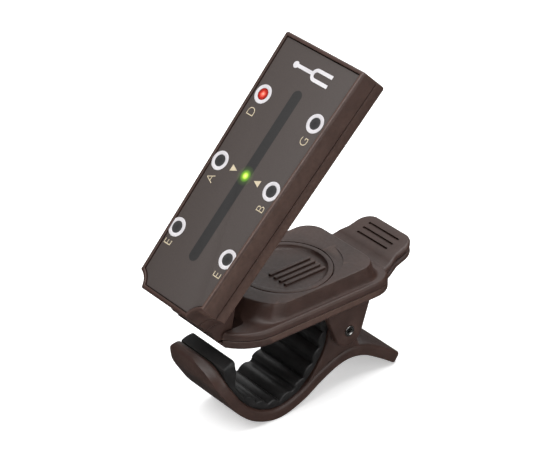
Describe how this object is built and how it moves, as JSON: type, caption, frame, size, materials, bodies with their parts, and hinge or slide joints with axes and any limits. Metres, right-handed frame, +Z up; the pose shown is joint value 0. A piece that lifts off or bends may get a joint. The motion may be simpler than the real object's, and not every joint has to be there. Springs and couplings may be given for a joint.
{
  "type": "clip-on tuner",
  "caption": "Clip-on instrument tuner with a tilting headstock-shaped display and a sprung rubber-lined clip.",
  "frame": {"origin": "centre of the object's footprint at the table, under the middle of its bounding box", "axes": "+X to the object's right, +Y from the nose hinge to the finger tab, +Z up from the table"},
  "size_m": [0.027, 0.0648, 0.0816],
  "materials": {
    "brown_shell": "satin moulded plastic",
    "display_panel": "semi-gloss printed sheet",
    "black_rubber": "matte moulded rubber",
    "steel": "plated steel",
    "spring_steel": "drawn wire",
    "circuit_board": "solder mask",
    "led_clear": "clear moulding",
    "meter_diffuser": "milky",
    "chip_black": "moulded",
    "button_dark": "satin moulded plastic",
    "brass": "plated",
    "washer_nylon": "moulded nylon"
  },
  "bodies": {
    "base": {"base_lower_shell": "brown_shell", "base_upper_shell": "brown_shell", "base_screw_1": "steel", "base_screw_2": "steel", "base_screw_3": "steel", "base_screw_4": "steel", "battery_contact_negative": "brass", "battery_contact_positive": "brass", "coin_cell": "steel", "hinge_pin": "steel", "hinge_washer_left": "washer_nylon", "hinge_washer_right": "washer_nylon", "piezo_pickup": "brass", "pivot_pin": "steel", "torsion_spring": "spring_steel", "upper_jaw_pad": "black_rubber"},
    "head": {"display_window": "display_panel", "head_front_shell": "brown_shell", "head_rear_shell": "brown_shell", "head_screw_1": "steel", "head_screw_2": "steel", "head_screw_3": "steel", "head_screw_4": "steel", "led_board": "circuit_board", "meter_diffuser": "meter_diffuser", "string_led_1": "led_clear", "string_led_2": "led_clear", "string_led_3": "led_clear", "string_led_4": "led_clear", "string_led_5": "led_clear", "string_led_6": "led_clear", "meter_led_1": "led_clear", "meter_led_2": "led_clear", "meter_led_3": "led_clear", "meter_led_4": "led_clear", "meter_led_5": "led_clear", "meter_led_6": "led_clear", "meter_led_7": "led_clear", "meter_led_8": "led_clear", "meter_led_9": "led_clear", "tact_switch": "chip_black", "tuner_chip": "chip_black"},
    "button": {"power_button": "button_dark"},
    "cover": {"battery_cover": "brown_shell"},
    "jaw": {"jaw_lever": "brown_shell", "jaw_liner": "black_rubber"}
  },
  "joints": [
    {"name": "head_tilt", "type": "hinge", "parent": "base", "child": "head", "pos_m": [0, -0.0223, 0.0292], "axis": [1, 0, 0], "range_deg": [-45.7, 44.3]},
    {"name": "jaw_pivot", "type": "hinge", "parent": "base", "child": "jaw", "pos_m": [0, 0.0107, 0.017], "axis": [1, 0, 0], "range_deg": [0, 30], "stiffness_Nm_per_rad": 0.12, "springref_deg": -57.3, "deforming": ["torsion_spring"]},
    {"name": "cover_twist", "type": "hinge", "parent": "base", "child": "cover", "pos_m": [0, 0.0009, 0.0315], "axis": [0, 0, 1], "range_deg": [0, 40]},
    {"name": "power_press", "type": "slide", "parent": "head", "child": "button", "axis": [0, -0.7157, 0.6984], "range_m": [0, 0.0003], "stiffness_N_per_m": 500}
  ]
}
